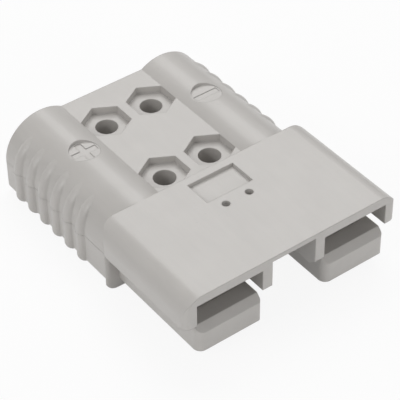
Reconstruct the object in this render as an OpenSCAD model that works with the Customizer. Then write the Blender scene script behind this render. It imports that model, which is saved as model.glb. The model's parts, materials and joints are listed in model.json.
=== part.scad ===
/* Genderless two-pole power connector.
   One moulded housing carries two flat contacts and the two leaf springs under them. A hood
   stands over two open bays and a tongue stands under each bay. A second connector, turned
   upside down about its width, mates with this one: its tongues fill these bays and the
   faces of the flat contacts meet on the mid plane of the housing.
   X runs across the housing, -Y is the mating side, +Y the cable side, and Z is up. */

/* [Housing] */
// Width over the hood
body_w = 92; // [88:0.5:98]
// Length from the mating face to the cable end
body_l = 113.5; // [110:0.5:130]
// Thickness over the hood
body_t = 30; // [29:0.5:34]
// Radius along the upper long edges of the hood
long_edge_r = 7.8; // [3:0.2:8.2]

/* [Hood] */
// Depth to which the other connector enters
mate_l = 46; // [44:0.5:46.5]
// Length of the collar behind that depth
collar_l = 4; // [2:0.5:4.5]
// Thickness of the hood over the bays
roof_t = 3.7; // [2.5:0.1:4.5]
// Thickness of the hood over the centre channel
channel_roof_t = 1.9; // [1.2:0.1:2.5]
// Thickness of the outer side walls
side_wall_t = 5.2; // [3.5:0.1:6]
// Half width of the centre channel
channel_half_w = 9.3; // [8:0.1:10]
// Thickness of the walls between the channel and the bays
inner_wall_t = 4.1; // [3:0.1:5]
// Height of the wall ends above the mid plane
wall_lift = 2.4; // [0.5:0.1:4]
// Thickness of the lip that carries an inner wall on to the mid plane
lip_t = 1.9; // [1:0.1:2.5]
// Set-back of that lip from the mating face
lip_setback = 2.7; // [1:0.1:5]
// Radius of the front corners of the hood
hood_front_r = 3; // [1:0.5:5]
// Radius of the rear corners of the hood
hood_rear_r = 5.5; // [1:0.5:5.5]
// Radius of the front corners of the collar
collar_r = 2; // [1:0.5:3]
// Radius along the lower edges of the collar
collar_foot_r = 5; // [3:0.5:5]
// Length of the open centre channel
channel_l = 33; // [28:0.5:34]

/* [Tongues] */
// Gap between a tongue and the walls of the bay that it enters
tongue_gap = 0.4; // [0.3:0.1:1.2]
// Gap between a tongue and the roof over it
roof_gap = 0.3; // [0.2:0.1:0.8]
// Drop of the tongue's upper face below the mid plane
tongue_drop = 0.1; // [0.05:0.05:0.5]
// Sloped lead-in at the tip of a tongue
lead_in = 2.6; // [1:0.1:4]
// Radius of the upright corner on the left of a tongue's tip
tongue_left_r = 3; // [1:0.5:5]
// Radius of the upright corner on the right of a tongue's tip
tongue_right_r = 1.2; // [0.4:0.1:5]

/* [Barrels and web] */
// Distance from the side of the hood to the axis of a barrel
barrel_inset = 18.8; // [18:0.1:19.4]
// Outer radius of a barrel
barrel_r = 16.2; // [15:0.1:16.6]
// Radius along the foot of a barrel
foot_r = 2.8; // [2.5:0.1:4.6]
// Step from the hood's top down to the web between the barrels
web_step = 2.75; // [1:0.05:4]
// Half width of the hollow under the web
web_half_w = 17.3; // [16:0.1:18]
// Number of finger ridges on each side
ridge_count = 6; // [2:1:6]
// Distance from one ridge to the next
ridge_pitch = 8; // [6:0.1:8.4]
// Distance from the mating face to the first ridge
ridge_start = 65; // [63:0.5:67]
// Width of a ridge where it leaves the barrel's side
ridge_w = 5.4; // [3:0.1:6]
// Height of a ridge over the barrel's side
ridge_h = 1.5; // [0.6:0.1:1.8]
// Outward shift of the ridges' arc, which makes them run out toward the top
ridge_shift = 3; // [2.2:0.1:4]

/* [Mounting holes] */
// Hole spacing across the housing
hole_dx = 20; // [19.5:0.1:21]
// Hole spacing along the housing
hole_dy = 36; // [30:0.5:38]
// Distance from the mating face to the front pair of holes
hole_y = 60.1; // [59.6:0.1:62]
// Diameter of a through hole
hole_d = 8.4; // [5:0.1:9]
// Size of a hexagonal pocket across its flats
hex_af = 16.1; // [13:0.1:16.4]
// Depth of a hexagonal pocket
hex_depth = 2.8; // [1:0.1:6]

/* [Top recess and pin holes] */
// Length of the rectangular recess across the housing
recess_w = 19.8; // [10:0.2:22]
// Length of the recess along the housing
recess_l = 11.5; // [6:0.5:12]
// Distance from the mating face to the recess
recess_y = 35.1; // [34.5:0.1:37]
// Depth of the recess
recess_depth = 1.4; // [0.5:0.1:2]
// Diameter of the two pin holes in front of the recess
pin_d = 3; // [1.5:0.1:4]
// Spacing of the two pin holes
pin_dx = 10.1; // [6:0.1:12]
// Distance from the mating face to the pin holes
pin_y = 30.9; // [28:0.1:31]

/* [Polarity marks] */
// Diameter of the round field of a mark
mark_d = 11.6; // [10.6:0.2:12]
// Distance from the mating face to the marks
mark_y = 84.6; // [78:0.2:95]
// Depth of the field below the crest of the barrel
mark_depth = 1.2; // [1.2:0.1:2]
// Length of a stroke of the plus and minus signs
stroke_l = 10.2; // [5:0.2:10.4]
// Width of a stroke
stroke_w = 2.6; // [1:0.1:3]
// Depth of a stroke in its field
stroke_depth = 0.25; // [0.15:0.05:0.8]

/* [Cable entries] */
// Diameter of a cable entry
entry_d = 21; // [20:0.2:23]
// Depth of the wide part of a cable entry
entry_l = 20; // [12:0.5:20.5]
// Widening at the mouth of a cable entry
entry_flare = 1; // [0.4:0.1:1.5]
// Wall between the bay and the front end of the contact's bore
stop_wall = 11; // [8:0.5:11.5]

/* [Contacts and springs] */
// Width of a contact's flat blade
blade_w = 19; // [15:0.2:19.4]
// Thickness of the blade
blade_t = 4; // [3:0.1:4.5]
// Set-back of the blade's tip from the mating face
blade_setback = 10; // [8:0.5:14]
// Outer diameter of the crimp sleeve
sleeve_d = 19; // [17:0.2:19.4]
// Inner diameter of the crimp sleeve
sleeve_bore = 14.5; // [12:0.1:15.5]
// Depth of the sleeve's hole
sleeve_l = 26; // [18:0.5:30]
// Length of the solid neck between blade and sleeve
neck_l = 9; // [6:0.5:12]
// Clearance of the blade in its groove
blade_gap = 0.3; // [0.1:0.05:0.5]
// Clearance round the sleeve in its bore
sleeve_gap = 0.4; // [0.2:0.1:0.6]
// Width of the leaf spring under the blade
spring_w = 12; // [8:0.5:14]
// Thickness of the leaf spring
spring_t = 0.8; // [0.5:0.1:1]
// Distance between the spring's feet
spring_l = 34; // [26:1:36]
// Depth of the spring's pocket below the blade
spring_pocket = 2.8; // [2.4:0.1:3.2]
// Length of each foot of the spring
foot_l = 2.5; // [1.5:0.1:3]

/* [Hidden] */
$fn = 96;

eps = 0.01;                                  // overlap that joins neighbouring solids
past = 1;                                    // how far a cutter runs past a face
root = 0.9;                                  // how far a ridge reaches into the barrel
sink = 1;                                    // how far barrels and web reach into the collar
fit_gap = 0.1;                               // gap between the spring's crest and the blade
mid = body_t / 2;                            // height of the mid plane
wall_end = mid + wall_lift;                  // lower end of the hood's walls
hood_l = mate_l + collar_l;                  // rear of the hood, from the mating face
roof = body_t - roof_t;                      // height of the roof over a bay
bay_in = channel_half_w + inner_wall_t;      // side of a bay that faces the channel
bay_out = body_w / 2 - side_wall_t;          // side of a bay at the outer wall
tongue_in = bay_in + tongue_gap;
tongue_out = bay_out - tongue_gap;
tongue_top = mid - tongue_drop;
tongue_bottom = roof_t + roof_gap;           // leaves room for the other connector's hood
barrel_x = body_w / 2 - barrel_inset;        // axis of a barrel
barrel_out = barrel_x + barrel_r;            // outer side of a barrel
arc_z = body_t - barrel_r;                   // height of the axis of its round top
bore_end = mate_l + stop_wall;               // front end of the contact's bore
ridge_r = (pow(ridge_w / 2, 2) + pow(ridge_h, 2)) / (2 * ridge_h);
blade_bottom = mid - blade_t;
neck_y = bore_end + blade_gap;               // front face of the contact's neck
sleeve_y = neck_y + neck_l;
spring_mid = (blade_setback + bore_end) / 2; // middle of the spring along Y
spring_floor = blade_bottom - spring_pocket;
spring_rise = spring_pocket - fit_gap;
spring_outer_r = (pow(spring_l / 2, 2) + pow(spring_rise, 2) - pow(spring_t, 2))
                 / (2 * (spring_rise - spring_t));
groove_gap = 1;                              // room in front of the blade's tip
pocket_gap = 0.6;                            // room round the spring's feet
blade_lead = 1.5;                            // lead-in slope at the blade's tip
sight_d = 3;                                 // sight hole of the crimp sleeve

grey = [0.77, 0.76, 0.745];
silver = [0.82, 0.82, 0.80];
steel = [0.62, 0.63, 0.65];

// Everything below is drawn with the mating face at Y = 0, and centred here.
module centred() {
    translate([0, -body_l / 2, 0]) children();
}

// Both sides of the housing from the drawing of the right one.
module both_sides() {
    children();
    mirror([1, 0, 0]) children();
}

// A section drawn in X and Z, run along Y from y0 to y1.
module run_along_y(y0, y1) {
    translate([0, y1, 0]) rotate([90, 0, 0]) linear_extrude(height = y1 - y0) children();
}

// A section drawn in Y and Z, run along X from x0 to x1.
module run_along_x(x0, x1) {
    translate([x0, 0, 0]) rotate([90, 0, 90]) linear_extrude(height = x1 - x0) children();
}

// A profile drawn as radius and Y, turned from the side (+X) up to the top (+Z).
module turn_up(angle) {
    rotate([90, 0, 0]) rotate_extrude(angle = angle) mirror([0, 1]) children();
}

// Rectangle from x0, y0 to x1, y1 with one radius at its y0 corners and one at its y1 corners.
module round_rect(x0, y0, x1, y1, r0, r1) {
    translate([x0, y0 + r0]) square([x1 - x0, y1 - y0 - r0 - r1]);
    translate([x0 + r0, y0]) square([x1 - x0 - 2 * r0, r0 + eps]);
    translate([x0 + r1, y1 - r1 - eps]) square([x1 - x0 - 2 * r1, r1 + eps]);
    for (x = [x0 + r0, x1 - r0]) translate([x, y0 + r0]) circle(r0);
    for (x = [x0 + r1, x1 - r1]) translate([x, y1 - r1]) circle(r1);
}

// Full cross-section of the hood and the collar.
module body_section() {
    round_rect(-body_w / 2, 0, body_w / 2, body_t, collar_foot_r, long_edge_r);
}

// Outline from above, from y0 back to the rear of the hood, with its own front radius.
module block_outline(y0, front_r) {
    intersection() {
        round_rect(-body_w / 2, -hood_l, body_w / 2, hood_l, hood_rear_r, hood_rear_r);
        round_rect(-body_w / 2, y0, body_w / 2, 2 * hood_l, front_r, front_r);
    }
}

// Upper block: the hood.
module hood_block() {
    intersection() {
        run_along_y(0, hood_l) body_section();
        translate([0, 0, wall_end]) linear_extrude(height = body_t)
            block_outline(0, hood_front_r);
    }
}

// Lower block: the collar that the other connector's hood meets.
module collar_block() {
    intersection() {
        run_along_y(mate_l, hood_l) body_section();
        translate([0, 0, -past]) linear_extrude(height = wall_end + past + eps)
            block_outline(mate_l, collar_r);
    }
}

// Room for the other connector in one bay, under the roof.
module bay_space() {
    translate([bay_in, -past, wall_end - past])
        cube([bay_out - bay_in, mate_l + past, roof - wall_end + past]);
}

// The channel between the two inner walls.
module channel_space() {
    translate([-channel_half_w, -past, wall_end - past])
        cube([2 * channel_half_w, channel_l + past, body_t - channel_roof_t - wall_end + past]);
}

// Lip that carries an inner wall down to the mid plane, with a sloped front end.
module wall_lip() {
    run_along_x(channel_half_w, channel_half_w + lip_t) polygon([
        [lip_setback, mid],
        [mate_l + eps, mid],
        [mate_l + eps, wall_end + eps],
        [lip_setback - wall_lift, wall_end + eps]]);
}

// One tongue with the two corners of its tip and the lead-in along its upper edge.
module tongue(inner_r, outer_r) {
    long = 2 * mate_l;
    half = (tongue_in + tongue_out) / 2;
    intersection() {
        run_along_x(tongue_in, tongue_out) polygon([
            [0, tongue_bottom],
            [mate_l + eps, tongue_bottom],
            [mate_l + eps, tongue_top],
            [lead_in, tongue_top],
            [0, tongue_top - lead_in]]);
        linear_extrude(height = body_t) {
            round_rect(tongue_in, 0, half + outer_r + eps, long, inner_r, inner_r);
            round_rect(half - inner_r - eps, 0, tongue_out, long, outer_r, outer_r);
        }
    }
}

// Cross-section of one barrel: round above, upright below, with a rounded foot.
module barrel_section() {
    intersection() {
        translate([barrel_x, arc_z]) circle(barrel_r);
        translate([0, arc_z]) square(2 * barrel_out);
    }
    translate([web_half_w, 0]) square([barrel_out - foot_r - web_half_w, arc_z]);
    translate([web_half_w, foot_r]) square([barrel_out - web_half_w, arc_z - foot_r]);
    translate([barrel_out - foot_r, foot_r]) circle(foot_r);
}

// Bulges of the ridges over a straight side at X = 0, drawn as X and Y.
module ridge_outline() {
    for (i = [0 : ridge_count - 1]) translate([0, ridge_start + i * ridge_pitch]) intersection() {
        translate([ridge_h - ridge_r, 0]) circle(ridge_r);
        translate([-root, -ridge_pitch / 2]) square([root + ridge_h, ridge_pitch]);
    }
}

// The ridges of one barrel: over the shoulder, down the side and round the foot.
module ridges() {
    translate([barrel_x + ridge_shift, 0, arc_z])
        turn_up(90) translate([barrel_r - ridge_shift, 0]) ridge_outline();
    translate([barrel_out, 0, foot_r])
        linear_extrude(height = arc_z - foot_r + eps) ridge_outline();
    translate([barrel_out + ridge_h - foot_r, 0, foot_r]) mirror([0, 0, 1])
        turn_up(90) translate([foot_r - ridge_h, 0]) ridge_outline();
}

module barrel() {
    run_along_y(mate_l + sink, body_l) barrel_section();
    ridges();
}

// Flat web between the barrels, hollow on its underside.
module web() {
    translate([-barrel_x, mate_l + sink, web_step])
        cube([2 * barrel_x, body_l - mate_l - sink, body_t - 2 * web_step]);
}

// Through hole with its hexagonal pocket in the web.
module mounting_hole() {
    translate([0, 0, -past]) cylinder(d = hole_d, h = body_t + 2 * past);
    translate([0, 0, body_t - web_step - hex_depth]) rotate([0, 0, 30])
        cylinder(d = hex_af / cos(30), h = body_t, $fn = 6);
}

module mounting_holes() {
    for (x = [-hole_dx / 2, hole_dx / 2], y = [0, hole_dy])
        translate([x, hole_y + y, 0]) mounting_hole();
}

// Rectangular recess and the two pin holes that open into the channel.
module top_recess() {
    translate([-recess_w / 2, recess_y, body_t - recess_depth])
        cube([recess_w, recess_l, recess_depth + past]);
    for (x = [-pin_dx / 2, pin_dx / 2]) translate([x, pin_y, body_t - channel_roof_t - past])
        cylinder(d = pin_d, h = channel_roof_t + 2 * past, $fn = 48);
}

// Round field with a sunk sign: two strokes for plus, one for minus.
module polarity_mark(strokes) {
    translate([0, mark_y, body_t - mark_depth]) {
        cylinder(d = mark_d, h = mark_depth + past);
        for (i = [0 : strokes - 1]) rotate([0, 0, 90 * i])
            translate([-stroke_l / 2, -stroke_w / 2, -stroke_depth])
                cube([stroke_l, stroke_w, stroke_depth + eps]);
    }
}

// Bore for the contact's sleeve, opening into the wider cable entry with its flared mouth.
module cable_entry() {
    translate([barrel_x, 0, mid]) rotate([-90, 0, 0]) {
        translate([0, 0, bore_end])
            cylinder(d = sleeve_d + 2 * sleeve_gap, h = body_l - bore_end);
        translate([0, 0, body_l - entry_l]) cylinder(d = entry_d, h = entry_l + past);
        translate([0, 0, body_l - entry_flare])
            cylinder(d1 = entry_d, d2 = entry_d + 2 * entry_flare + 0.02, h = entry_flare + eps);
    }
}

// Groove for the blade along the tongue, its slot to the cable entry, and the spring's pocket.
module contact_space() {
    groove_w = blade_w + 2 * blade_gap;
    pocket_w = spring_w + 2 * blade_gap;
    pocket_l = spring_l + 2 * (foot_l + pocket_gap);
    groove_l = neck_y + blade_gap - blade_setback + groove_gap;
    translate([barrel_x - groove_w / 2, blade_setback - groove_gap, blade_bottom])
        cube([groove_w, groove_l, blade_t + blade_gap]);
    translate([barrel_x - pocket_w / 2, spring_mid - pocket_l / 2, spring_floor])
        cube([pocket_w, pocket_l, spring_pocket + eps]);
}

module housing() {
    color(grey) centred() difference() {
        union() {
            difference() {
                hood_block();
                both_sides() bay_space();
                channel_space();
            }
            collar_block();
            web();
            both_sides() {
                barrel();
                wall_lip();
            }
            tongue(tongue_left_r, tongue_right_r);
            mirror([1, 0, 0]) tongue(tongue_right_r, tongue_left_r);
        }
        mounting_holes();
        top_recess();
        both_sides() {
            cable_entry();
            contact_space();
        }
        translate([-barrel_x, 0, 0]) polarity_mark(2);
        translate([barrel_x, 0, 0]) polarity_mark(1);
    }
}

// Contact of the right pole: flat blade, solid neck and crimp sleeve.
module contact() {
    centred() difference() {
        union() {
            run_along_x(barrel_x - blade_w / 2, barrel_x + blade_w / 2) polygon([
                [blade_setback, blade_bottom],
                [neck_y + eps, blade_bottom],
                [neck_y + eps, mid],
                [blade_setback + blade_lead, mid],
                [blade_setback, mid - blade_lead]]);
            translate([barrel_x, neck_y, mid]) rotate([-90, 0, 0])
                cylinder(d = sleeve_d, h = neck_l + sleeve_l);
        }
        translate([barrel_x, sleeve_y, mid]) rotate([-90, 0, 0])
            cylinder(d = sleeve_bore, h = sleeve_l + past);
        translate([barrel_x, sleeve_y + sight_d, mid])
            cylinder(d = sight_d, h = sleeve_d, $fn = 32);
    }
}

// Leaf spring of the right pole: an arched strip on two flat feet.
module leaf_spring() {
    centred() translate([barrel_x - spring_w / 2, spring_mid, spring_floor]) {
        intersection() {
            run_along_x(0, spring_w) translate([0, spring_rise - spring_outer_r]) difference() {
                circle(spring_outer_r, $fn = 360);
                circle(spring_outer_r - spring_t, $fn = 360);
            }
            translate([-past, -spring_l / 2 - foot_l, 0])
                cube([spring_w + 2 * past, spring_l + 2 * foot_l, spring_rise + past]);
        }
        for (y = [-spring_l / 2 - foot_l, spring_l / 2 - foot_l / 2])
            translate([0, y, 0]) cube([spring_w, foot_l * 1.5, spring_t]);
    }
}

module contact_positive() {
    color(silver) mirror([1, 0, 0]) contact();
}

module contact_negative() {
    color(silver) contact();
}

module spring_positive() {
    color(steel) mirror([1, 0, 0]) leaf_spring();
}

module spring_negative() {
    color(steel) leaf_spring();
}

housing();
contact_positive();
contact_negative();
spring_positive();
spring_negative();
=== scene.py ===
# %% [markdown]
# # A genderless two-pole power connector
# The real thing is one heavy moulding of warm grey plastic: a flat hood over two open bays, two
# tongues under it, and two ridged barrels that hold the cables. Inside lie two silver-plated
# contacts on leaf springs. The solids come ready from CAD, so this lesson dresses them: it gives
# plastic, silver and spring steel a surface and adds the marks that a mould leaves. Everything is
# in metres, in the frame of the CAD model.

# %% Load the CAD model
import json

import bmesh
import bpy
from mathutils import Matrix, Vector

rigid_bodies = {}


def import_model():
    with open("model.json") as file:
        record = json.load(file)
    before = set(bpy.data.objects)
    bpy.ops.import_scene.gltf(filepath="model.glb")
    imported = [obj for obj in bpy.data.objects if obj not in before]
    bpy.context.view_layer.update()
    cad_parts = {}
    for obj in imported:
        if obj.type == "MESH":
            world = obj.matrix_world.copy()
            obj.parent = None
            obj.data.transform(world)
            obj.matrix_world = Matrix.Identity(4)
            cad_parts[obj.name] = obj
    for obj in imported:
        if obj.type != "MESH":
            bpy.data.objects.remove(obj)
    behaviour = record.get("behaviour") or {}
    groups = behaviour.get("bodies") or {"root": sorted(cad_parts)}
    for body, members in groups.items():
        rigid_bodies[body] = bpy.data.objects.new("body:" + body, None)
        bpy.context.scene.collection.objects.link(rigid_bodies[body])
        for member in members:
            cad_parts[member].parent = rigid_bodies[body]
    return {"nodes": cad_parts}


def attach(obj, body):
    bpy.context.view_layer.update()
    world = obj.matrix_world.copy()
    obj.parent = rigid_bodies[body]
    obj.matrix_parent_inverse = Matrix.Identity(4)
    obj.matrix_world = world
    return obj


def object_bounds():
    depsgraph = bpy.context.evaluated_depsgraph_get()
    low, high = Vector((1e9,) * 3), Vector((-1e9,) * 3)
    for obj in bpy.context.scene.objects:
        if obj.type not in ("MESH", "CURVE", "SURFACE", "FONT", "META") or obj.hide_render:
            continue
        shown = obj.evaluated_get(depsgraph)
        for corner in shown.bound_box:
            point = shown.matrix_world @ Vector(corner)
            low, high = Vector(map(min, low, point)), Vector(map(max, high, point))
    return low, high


for leftover in list(bpy.data.objects):
    bpy.data.objects.remove(leftover)
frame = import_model()
cad_low, cad_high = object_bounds()
MM = 0.001
print("CAD nodes:", sorted(frame["nodes"]))
print("CAD box in mm:", [round(v / MM, 2) for v in cad_high - cad_low])

# %% [markdown]
# ## A small language for node trees
# A node tree drawn by hand is quick to read but slow to write in code. Two small classes help.
# `Wire` wraps a socket, so that `0.4 + 0.2 * grain` adds the Math nodes by itself. `Net.add` makes
# any other node: its settings are set first, then the values or wires of its sockets.

# %% Wires and nets


class Wire:
    """The value of one output socket, ready for sums."""

    def __init__(self, net, socket):
        self.net, self.socket = net, socket

    def math(self, operation, other=0.0):
        return self.net.add("ShaderNodeMath", {"operation": operation}, {0: self, 1: other})

    def __add__(self, other):
        return self.math("ADD", other)

    def __sub__(self, other):
        return self.math("SUBTRACT", other)

    def __mul__(self, other):
        return self.math("MULTIPLY", other)

    def __truediv__(self, other):
        return self.math("DIVIDE", other)

    __radd__, __rmul__ = __add__, __mul__


class Net:
    """A node tree with one way to add a node."""

    def __init__(self, tree):
        self.tree = tree

    def add(self, kind, settings=None, sockets=None, out=0):
        node = self.tree.nodes.new(kind)
        for name, value in (settings or {}).items():
            setattr(node, name, value)
        for key, value in (sockets or {}).items():
            if isinstance(value, Wire):
                self.tree.links.new(value.socket, node.inputs[key])
            else:
                node.inputs[key].default_value = value
        return Wire(self, node.outputs[out]) if node.outputs else node


print("Helpers ready:", Wire.__name__, Net.__name__)

# %% [markdown]
# ## Fields that every finish shares
# A finish needs patterns fixed to the part, at real sizes. Object coordinates are in metres, so a
# noise of scale 1 / (3 mm) has blotches about 3 mm across. `stretch` makes the pattern longer
# along one axis, as flow lines in a moulding or drawing lines on a metal strip are.

# %% Noise, blends and new materials


def noise(net, size, detail=2.0, rough=0.5, stretch=(1, 1, 1)):
    place = net.add("ShaderNodeTexCoord", out=3)
    scaled = net.add("ShaderNodeMapping", {}, {"Vector": place, "Scale": [1 / s for s in stretch]})
    pattern = {"Vector": scaled, "Scale": 1 / size, "Detail": detail, "Roughness": rough}
    return net.add("ShaderNodeTexNoise", {}, pattern)


def blend(net, factor, first, second):
    """Colour that goes from first to second as the factor goes from 0 to 1."""
    node = net.tree.nodes.new("ShaderNodeMix")
    node.data_type = "RGBA"
    net.tree.links.new(factor.socket, node.inputs["Factor"])
    for key, colour in (("A", first), ("B", second)):
        socket = next(s for s in node.inputs if s.name == key and s.type == "RGBA")
        if isinstance(colour, Wire):
            net.tree.links.new(colour.socket, socket)
        else:
            socket.default_value = (*colour, 1)
    return Wire(net, next(s for s in node.outputs if s.type == "RGBA"))


def spread(net, wire, low, high):
    """A field's middle part pulled out to 0 and 1."""
    return net.add("ShaderNodeMapRange", {"clamp": True}, {0: wire, 1: low, 2: high, 3: 0.0, 4: 1.0})


def new_finish(name):
    material = bpy.data.materials.new(name)
    material.use_nodes = True
    material.node_tree.nodes.clear()
    return material, Net(material.node_tree)


def close_finish(net, **sockets):
    names = {key.replace("_", " "): value for key, value in sockets.items()}
    shader = net.add("ShaderNodeBsdfPrincipled", {}, names)
    net.add("ShaderNodeOutputMaterial", {}, {"Surface": shader})


print("A noise of 3 mm has scale", round(1 / (3 * MM)))

# %% [markdown]
# ## The moulded plastic
# Battery connectors of this kind are moulded from polycarbonate: opaque, tough, satin to the touch.
# Its warm grey is nearly even, with faint clouds of a centimetre or so, fainter streaks where the
# melt flowed back along the barrels, and a fine eroded texture from the mould that breaks up the
# gloss. So colour, roughness and bump each get their own small fields. A thin clear coat adds the
# sharper gloss of the skin, and a Bevel node rounds the edges for the light.

# %% Make the plastic
PLASTIC = (0.535, 0.515, 0.492)
EDGE_RADIUS = 0.6 * MM


def shade(colour, factor):
    return tuple(c * factor for c in colour)


def moulded_plastic(name, colour):
    material, net = new_finish(name)
    clouds = noise(net, 14 * MM, detail=3)
    flow = noise(net, 3.5 * MM, detail=4, rough=0.6, stretch=(1, 7, 1))
    grain = noise(net, 0.35 * MM, detail=2)
    tone = spread(net, clouds * 0.5 + flow * 0.5, 0.32, 0.68)
    clear = blend(net, tone, shade(colour, 0.965), shade(colour, 1.03))
    speck = spread(net, noise(net, 0.9 * MM, detail=1), 0.70, 0.80)
    tinted = blend(net, speck * 0.35, clear, shade(colour, 0.86))
    soft_edge = net.add("ShaderNodeBevel", {"samples": 8}, {"Radius": EDGE_RADIUS})
    relief = net.add(
        "ShaderNodeBump",
        {},
        {"Strength": 0.12, "Distance": 0.05 * MM, "Height": grain, "Normal": soft_edge},
    )
    close_finish(
        net,
        Base_Color=tinted,
        Roughness=0.35 + 0.10 * grain + 0.06 * flow,
        Specular_IOR_Level=0.5,
        Coat_Weight=0.18,
        Coat_Roughness=0.12,
        Normal=relief,
    )
    return material


plastic = moulded_plastic("grey_polycarbonate", PLASTIC)
print("Plastic nodes:", len(plastic.node_tree.nodes))

# %% [markdown]
# ## Silver plate and spring steel
# The contacts are copper under a few micrometres of silver, which is pale, soft in its gloss, and
# goes faintly yellow where it tarnishes. The springs are rolled stainless strip, with fine lines
# along the strip. Both are metals, so the base colour is the colour of the reflection.

# %% Make the two metals


def plated_silver(name):
    material, net = new_finish(name)
    tarnish = spread(net, noise(net, 9 * MM, detail=4, rough=0.65), 0.45, 0.72)
    lines = noise(net, 0.5 * MM, detail=3, stretch=(1, 30, 1))
    colour = blend(net, tarnish * 0.45, (0.86, 0.85, 0.82), (0.62, 0.55, 0.42))
    relief = net.add(
        "ShaderNodeBump", {}, {"Strength": 0.15, "Distance": 0.02 * MM, "Height": lines}
    )
    gloss = 0.22 + 0.14 * lines + 0.10 * tarnish
    close_finish(net, Base_Color=colour, Metallic=1.0, Roughness=gloss, Normal=relief)
    return material


def rolled_steel(name):
    material, net = new_finish(name)
    lines = noise(net, 0.3 * MM, detail=3, stretch=(1, 60, 1))
    patches = noise(net, 6 * MM, detail=2)
    colour = blend(net, lines * 0.6 + patches * 0.4, (0.44, 0.45, 0.47), (0.66, 0.67, 0.69))
    relief = net.add(
        "ShaderNodeBump", {}, {"Strength": 0.2, "Distance": 0.01 * MM, "Height": lines}
    )
    close_finish(net, Base_Color=colour, Metallic=1.0, Roughness=0.25 + 0.15 * lines, Normal=relief)
    return material


def repaint(node, material):
    mesh = frame["nodes"][node].data
    mesh.materials.clear()
    mesh.materials.append(material)


silver, steel = plated_silver("silver_plate"), rolled_steel("spring_strip")
for side in ("positive", "negative"):
    repaint(f"contact_{side}", silver)
    repaint(f"spring_{side}", steel)
print("Metals on:", [n for n in sorted(frame["nodes"]) if n != "housing"])

# %% [markdown]
# ## The housing
# The solid from CAD already has every wall, ridge and pocket, with true normals on its curved
# faces, so it stays as it is and takes the plastic. Its soft edges come from the finish.

# %% Paint the housing
repaint("housing", plastic)
print("Housing triangles:", len(frame["nodes"]["housing"].data.polygons))

# %% [markdown]
# ## The parting seam
# Where the two halves of the mould meet, a hair of plastic creeps into the joint and stays on the
# part as a fine bead. On the real housing it runs along the outer side of each barrel at half
# height, over every finger ridge. It follows a rule, so Geometry Nodes draw it: a straight line is
# cut into short steps, each step is pushed out by the ridge's arc at its place along the barrel,
# and a small ring is swept along the result. The inputs are the sizes of the real ridges.

# %% Ridge and seam sizes from the housing
RIDGE = {"pitch": 8.0 * MM, "width": 5.4 * MM, "height": 1.5 * MM, "first": 65.0 * MM, "count": 6}
BARREL_SIDE = 43.4 * MM
COLLAR_END = 50.0 * MM
SEAM_HEIGHT = 13.8 * MM
SEAM_BEAD = 0.06 * MM
SEAM_STEPS = 260
mating_face = cad_low.y
last_ridge = RIDGE["first"] + (RIDGE["count"] - 1) * RIDGE["pitch"]
print("Last ridge in mm from the mating face:", round(last_ridge / MM))


# %% A tree builder for Geometry Nodes
def new_tree(name, inputs):
    """An empty geometry tree with the given named inputs, and its input node as wires."""
    tree = bpy.data.node_groups.new(name, "GeometryNodeTree")
    tree.interface.new_socket("Geometry", in_out="INPUT", socket_type="NodeSocketGeometry")
    for label, kind in inputs.items():
        tree.interface.new_socket(label, in_out="INPUT", socket_type=f"NodeSocket{kind}")
    tree.interface.new_socket("Geometry", in_out="OUTPUT", socket_type="NodeSocketGeometry")
    net = Net(tree)
    entry = tree.nodes.new("NodeGroupInput")
    wires = {label: Wire(net, entry.outputs[label]) for label in ("Geometry", *inputs)}
    return net, wires


def close_tree(net, geometry, material):
    real = net.add("GeometryNodeRealizeInstances", {}, {0: geometry})
    painted = net.add("GeometryNodeSetMaterial", {}, {"Geometry": real, "Material": material})
    net.add("NodeGroupOutput", {}, {0: painted})
    return net.tree


def run_tree(name, tree, values, mesh=None):
    """A piece made by the tree from a mesh of points, turned into a plain mesh."""
    piece = bpy.data.objects.new(name, mesh or bpy.data.meshes.new(name))
    bpy.context.collection.objects.link(piece)
    modifier = piece.modifiers.new("tree", "NODES")
    modifier.node_group = tree
    for item in tree.interface.items_tree:
        if item.in_out == "INPUT" and item.name in values:
            modifier[item.identifier] = values[item.name]
    settled = piece.evaluated_get(bpy.context.evaluated_depsgraph_get())
    made = bpy.data.meshes.new_from_object(settled)
    piece.modifiers.clear()
    piece.data = made
    return piece


print("Tree helpers ready")


# %% The seam's tree
def seam_tree(material):
    sizes = ("Start", "End", "First Ridge", "Pitch", "Ridge Width", "Ridge Height", "Bead")
    net, at = new_tree("parting seam", {**{s: "Float" for s in sizes}, "Ridges": "Int"})
    start = net.add("ShaderNodeCombineXYZ", {}, {"Y": at["Start"]})
    end = net.add("ShaderNodeCombineXYZ", {}, {"Y": at["End"]})
    line = net.add("GeometryNodeCurvePrimitiveLine", {}, {"Start": start, "End": end})
    steps = net.add("GeometryNodeResampleCurve", {}, {"Curve": line, "Count": SEAM_STEPS})
    place = net.add("GeometryNodeInputPosition")
    along = net.add("ShaderNodeSeparateXYZ", {}, {0: place}, out=1) - at["First Ridge"]
    near = (along / at["Pitch"]).math("ROUND")
    ridge = net.add("ShaderNodeClamp", {}, {"Value": near, "Min": 0.0, "Max": at["Ridges"] - 1})
    away = along - ridge * at["Pitch"]
    half = at["Ridge Width"] * 0.5
    span = half * half + at["Ridge Height"] * at["Ridge Height"]
    radius = span / (at["Ridge Height"] * 2)
    inside = (radius * radius - away * away).math("MAXIMUM")
    arc = inside.math("SQRT") - radius + at["Ridge Height"]
    offset = net.add("ShaderNodeCombineXYZ", {}, {"X": arc.math("MAXIMUM")})
    bent = net.add("GeometryNodeSetPosition", {}, {"Geometry": steps, "Offset": offset})
    section = {"Resolution": 8, "Radius": at["Bead"]}
    ring = net.add("GeometryNodeCurvePrimitiveCircle", {"mode": "RADIUS"}, section)
    sweep = {"Curve": bent, "Profile Curve": ring, "Fill Caps": True}
    swept = net.add("GeometryNodeCurveToMesh", {}, sweep)
    return close_tree(net, swept, material)


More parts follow.
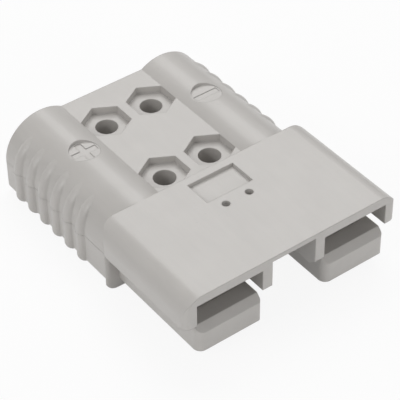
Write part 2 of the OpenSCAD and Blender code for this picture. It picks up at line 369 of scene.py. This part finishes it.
seam = seam_tree(plastic)
print("Nodes in the seam's tree:", len(seam.nodes))

# %% [markdown]
# Each side gets one seam. The mirrored one has its faces turned inside out, so both pass through
# `outward`, which makes every face look away from the inside again.


# %% Sweep both seams
def side_seam(name, tree, side):
    """The seam of one side: made along Y by the tree, then moved out to the barrel's side."""
    values = {
        "Start": mating_face + COLLAR_END - 0.5 * MM,
        "End": cad_high.y - 0.2 * MM,
        "First Ridge": mating_face + RIDGE["first"],
        "Pitch": RIDGE["pitch"],
        "Ridge Width": RIDGE["width"],
        "Ridge Height": RIDGE["height"],
        "Bead": SEAM_BEAD,
        "Ridges": RIDGE["count"],
    }
    piece = run_tree(name, tree, values)
    for vertex in piece.data.vertices:
        x, y, z = vertex.co
        vertex.co = (side * (BARREL_SIDE + x), y, SEAM_HEIGHT + z)
    outward(piece)
    piece.data.shade_smooth()
    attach(piece, "root")
    return piece


def outward(piece):
    """Faces point outwards again after a mirror."""
    mesh = bmesh.new()
    mesh.from_mesh(piece.data)
    bmesh.ops.remove_doubles(mesh, verts=mesh.verts, dist=0.001 * MM)
    bmesh.ops.recalc_face_normals(mesh, faces=mesh.faces)
    mesh.to_mesh(piece.data)
    mesh.free()


seams = [side_seam(f"parting_seam_{name}", seam, side) for name, side in (("left", -1), ("right", 1))]
print("Seam faces:", [len(piece.data.polygons) for piece in seams])

# %% [markdown]
# ## Ejector marks on the underside
# Pins push the part out of the mould and leave round witness marks where the underside is flat.
# The same mark comes many times, so Geometry Nodes put one small stepped disc on each point of a
# list: two under each tongue and three along the middle of the web.

# %% Scatter the ejector marks
MARK_WIDTH, MARK_HEIGHT = 4.5 * MM, 0.16 * MM
TONGUE_X, TONGUE_UNDER, WEB_UNDER = 27.2 * MM, 4.0 * MM, 2.75 * MM


def mark_tree(material):
    """A flat disc with a smaller and thicker core, set on every point."""
    net, at = new_tree("ejector marks", {"Width": "Float", "Height": "Float"})
    disc = {"Vertices": 32, "Radius": at["Width"] * 0.5, "Depth": at["Height"]}
    plate = net.add("GeometryNodeMeshCylinder", {"fill_type": "NGON"}, disc)
    stem = {"Vertices": 32, "Radius": at["Width"] * 0.36, "Depth": at["Height"] * 1.8}
    core = net.add("GeometryNodeMeshCylinder", {"fill_type": "NGON"}, stem)
    join = net.tree.nodes.new("GeometryNodeJoinGeometry")
    for shape in (plate, core):
        net.tree.links.new(shape.socket, join.inputs[0])
    both = Wire(net, join.outputs[0])
    spots = net.add("GeometryNodeInstanceOnPoints", {}, {"Points": at["Geometry"], "Instance": both})
    return close_tree(net, spots, material)


def underside_points():
    spots = [(x, y * MM, TONGUE_UNDER) for x in (-TONGUE_X, TONGUE_X) for y in (14, 36)]
    spots += [(0.0, y * MM, WEB_UNDER) for y in (56, 78.1, 107)]
    return [(x, mating_face + y, z) for x, y, z in spots]


points = bpy.data.meshes.new("ejector points")
points.from_pydata(underside_points(), [], [])
mark_sizes = {"Width": MARK_WIDTH, "Height": MARK_HEIGHT}
marks = run_tree("ejector_marks", mark_tree(plastic), mark_sizes, points)
outward(marks)
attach(marks, "root")
print("Ejector marks:", len(underside_points()), "with", len(marks.data.polygons), "faces")

# %% [markdown]
# ## Floor, light and camera
# The part lies on a plain white table under soft studio light. One wide panel hangs above and
# behind it, so the tops are bright and the walls of bays and pockets that face the viewer fall
# off. A second panel lights the left side, a very small one beside it draws the glints on the
# finger ridges, and a third panel in front keeps the tongues readable. The table shows plain white to
# the camera and still holds a faint shadow.

# %% Floor and surroundings


def studio_white(net, surface, share):
    """White where the camera or a mirror looks at it, and the surface itself for all other light."""
    path = net.tree.nodes.new("ShaderNodeLightPath").outputs
    seen = Wire(net, path["Is Camera Ray"]) + Wire(net, path["Is Glossy Ray"])
    seen = seen + Wire(net, path["Is Transmission Ray"])
    white = net.add("ShaderNodeEmission", {}, {"Color": (1, 1, 1, 1), "Strength": 1.0})
    factor = spread(net, seen, 0.0, 1.0) * share
    return net.add("ShaderNodeMixShader", {}, {0: factor, 1: surface, 2: white})


paper, paper_net = new_finish("white_table")
matte = paper_net.add("ShaderNodeBsdfDiffuse", {}, {"Color": (0.86, 0.86, 0.86, 1)})
paper_net.add("ShaderNodeOutputMaterial", {}, {"Surface": studio_white(paper_net, matte, 0.9)})
floor_mesh = bpy.data.meshes.new("table")
HALF_TABLE = 4.0
corners = [(x * HALF_TABLE, y * HALF_TABLE, 0) for x, y in ((-1, -1), (1, -1), (1, 1), (-1, 1))]
floor_mesh.from_pydata(corners, [], [(0, 1, 2, 3)])
floor_mesh.materials.append(paper)
floor = bpy.data.objects.new("table", floor_mesh)
floor.location.z = cad_low.z - 0.05 * MM
bpy.context.collection.objects.link(floor)

world = bpy.data.worlds.new("studio")
bpy.context.scene.world = world
world.use_nodes = True
world.node_tree.nodes.clear()
air = Net(world.node_tree)
glow = air.add("ShaderNodeBackground", {}, {"Color": (1, 1, 1, 1), "Strength": 0.32})
back = air.add("ShaderNodeBackground", {}, {"Color": (1, 1, 1, 1), "Strength": 1.0})
camera_ray = Wire(air, air.tree.nodes.new("ShaderNodeLightPath").outputs["Is Camera Ray"])
sky = air.add("ShaderNodeMixShader", {}, {0: camera_ray, 1: glow, 2: back})
air.add("ShaderNodeOutputWorld", {}, {"Surface": sky})
print("Table and air ready")

# %% Light panels
centre = (cad_low + cad_high) / 2


def panel(name, direction, distance, size, power):
    """A square lamp at this distance in metres, in this direction from the part, facing it."""
    data = bpy.data.lights.new(name, "AREA")
    data.shape, data.size, data.energy = "SQUARE", size, power
    lamp = bpy.data.objects.new(name, data)
    away = Vector(direction).normalized()
    lamp.location = centre + away * distance
    lamp.rotation_mode = "QUATERNION"
    lamp.rotation_quaternion = away.to_track_quat("Z", "Y")
    bpy.context.collection.objects.link(lamp)
    return lamp


panel("overhead", (0.38, 0.42, 0.82), 1.2, 0.9, 8.1)
panel("left", (-0.85, 0.05, 0.52), 1.2, 0.7, 3.0)
panel("glint", (-0.83, -0.04, 0.57), 0.9, 0.05, 0.5)
panel("front", (0.12, -0.95, 0.26), 1.4, 0.8, 4.2)

# %% [markdown]
# The camera stands to the left in front and looks down at the part, from far enough away that a
# long lens fills the picture and parallel edges stay nearly parallel.

# %% Camera
eye = bpy.data.cameras.new("eye")
eye.lens, eye.sensor_width = 155.7, 36.0
eye.clip_start, eye.clip_end = 0.01, 20
camera = bpy.data.objects.new("eye", eye)
right, up = (0.79877, -0.60154, -0.01091), (0.40509, 0.52432, 0.74899)
backward = (-0.44482, -0.60269, 0.66249)
turn = Matrix((right, up, backward)).transposed().to_4x4()
camera.matrix_world = Matrix.Translation((-0.27533, -0.37703, 0.42365)) @ turn
bpy.context.collection.objects.link(camera)
bpy.context.scene.camera = camera
bpy.context.scene.view_settings.view_transform = "Standard"
print("Camera distance in mm:", round((camera.location - centre).length / MM))
